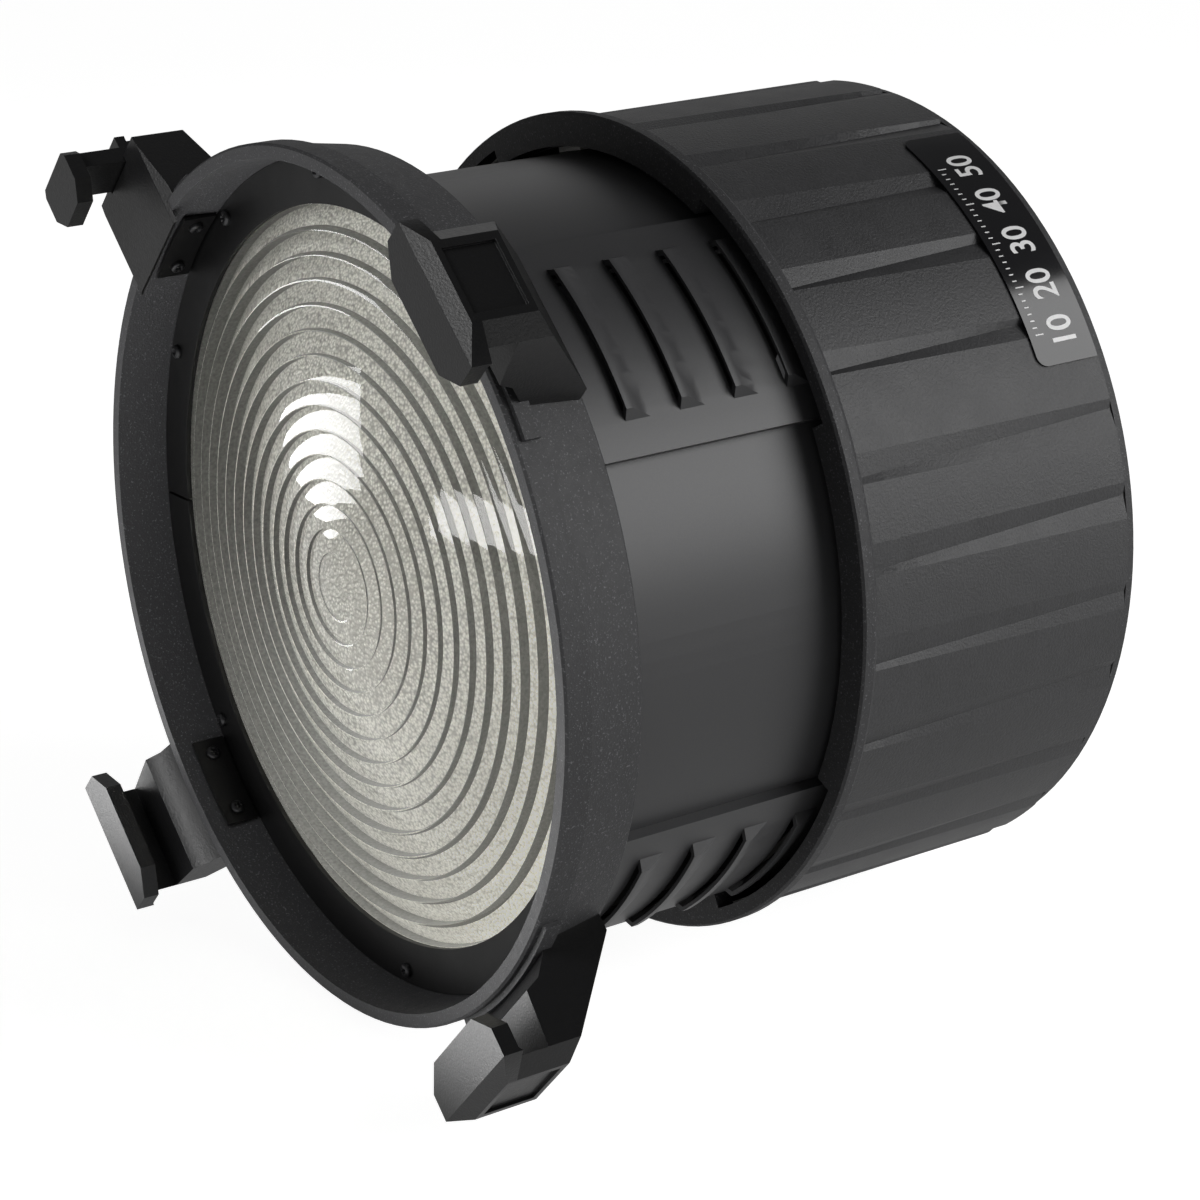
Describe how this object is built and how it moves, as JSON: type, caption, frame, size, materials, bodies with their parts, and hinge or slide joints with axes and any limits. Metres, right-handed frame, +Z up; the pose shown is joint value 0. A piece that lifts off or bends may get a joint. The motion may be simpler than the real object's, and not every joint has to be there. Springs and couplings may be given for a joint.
{
  "type": "fresnel spotlight",
  "caption": "Focusing fresnel spotlight head: a lens barrel slides in a drum as its rubber grip is turned; hooks and a sprung latch hold accessories and a rear bayonet takes the lamp.",
  "frame": {"origin": "centre of the rear bayonet's bore, in the plane of its seating land", "axes": "-Y forward along the light beam, +Y rearwards out of the bayonet, +X to the object's left side seen from the front, +Z up"},
  "size_m": [0.2986, 0.273, 0.2986],
  "materials": {
    "speckled_plastic": "fine speckled moulding",
    "barrel_coat": "smooth satin black anodised",
    "bracket_coat": "fine textured black powder coat",
    "black_sheet": "satin black paint",
    "grip_rubber": "fine grained matte rubber",
    "label_film": "gloss black with pale dial marks",
    "lens_glass": "stepped front, stippled back",
    "seal_rubber": "matte",
    "inner_metal": "black anodised",
    "glide_plastic": "smooth low-friction",
    "zinc_steel": "zinc plated",
    "black_steel": "black oxide",
    "spring_steel": "drawn wire"
  },
  "bodies": {
    "drum": {"bayonet_ring": "inner_metal", "bayonet_screws": "black_steel", "rear_plate": "black_sheet", "tie_bolts": "black_steel", "rear_ring": "speckled_plastic", "front_flange": "speckled_plastic", "guide_rails": "inner_metal", "front_glide_pads": "glide_plastic", "front_glide_ring": "glide_plastic", "rear_glide_ring": "glide_plastic"},
    "barrel": {"barrel_tube": "barrel_coat", "barrel_stiffener": "inner_metal", "rear_glide_pads": "glide_plastic", "follower_pins": "zinc_steel", "guide_rollers": "glide_plastic", "cam_rollers": "glide_plastic", "vent_panel_top_right": "barrel_coat", "vent_panel_top_left": "barrel_coat", "vent_panel_bottom_left": "barrel_coat", "vent_panel_bottom_right": "barrel_coat", "panel_screws": "black_steel", "front_bezel": "speckled_plastic", "tube_screws": "black_steel", "fresnel_lens": "lens_glass", "lens_gasket": "seal_rubber", "lens_retainer_lower": "black_sheet", "lens_retainer_upper": "black_sheet", "retainer_screws": "zinc_steel", "backing_plates": "black_sheet", "bracket_screws": "zinc_steel", "hook_bracket_top_right": "bracket_coat", "hook_bracket_bottom_left": "bracket_coat", "hook_bracket_bottom_right": "bracket_coat", "latch_bracket": "bracket_coat", "latch_guide_pin": "zinc_steel", "latch_spring": "spring_steel"},
    "grip": {"cam_sleeve": "inner_metal", "grip_sleeve": "grip_rubber", "dial_label": "label_film"},
    "latch": {"latch_hook": "bracket_coat", "latch_thumb_tab": "bracket_coat", "tab_screws": "black_steel"}
  },
  "joints": [
    {"name": "grip_turn", "type": "hinge", "parent": "drum", "child": "grip", "pos_m": [0, 0, 0], "axis": [0, 1, 0], "range_deg": [0, 109]},
    {"name": "barrel_slide", "type": "slide", "parent": "drum", "child": "barrel", "axis": [0, 1, 0], "range_m": [0, 0.082]},
    {"name": "latch_slide", "type": "slide", "parent": "barrel", "child": "latch", "axis": [-0.7071, 0, 0.7071], "range_m": [0, 0.01], "stiffness_N_per_m": 800, "springref_m": -0.006, "deforming": ["latch_spring"]}
  ],
  "couplings": [
    {"joint": "barrel_slide", "follows": "grip_turn", "m_per_rad": 0.042972}
  ]
}
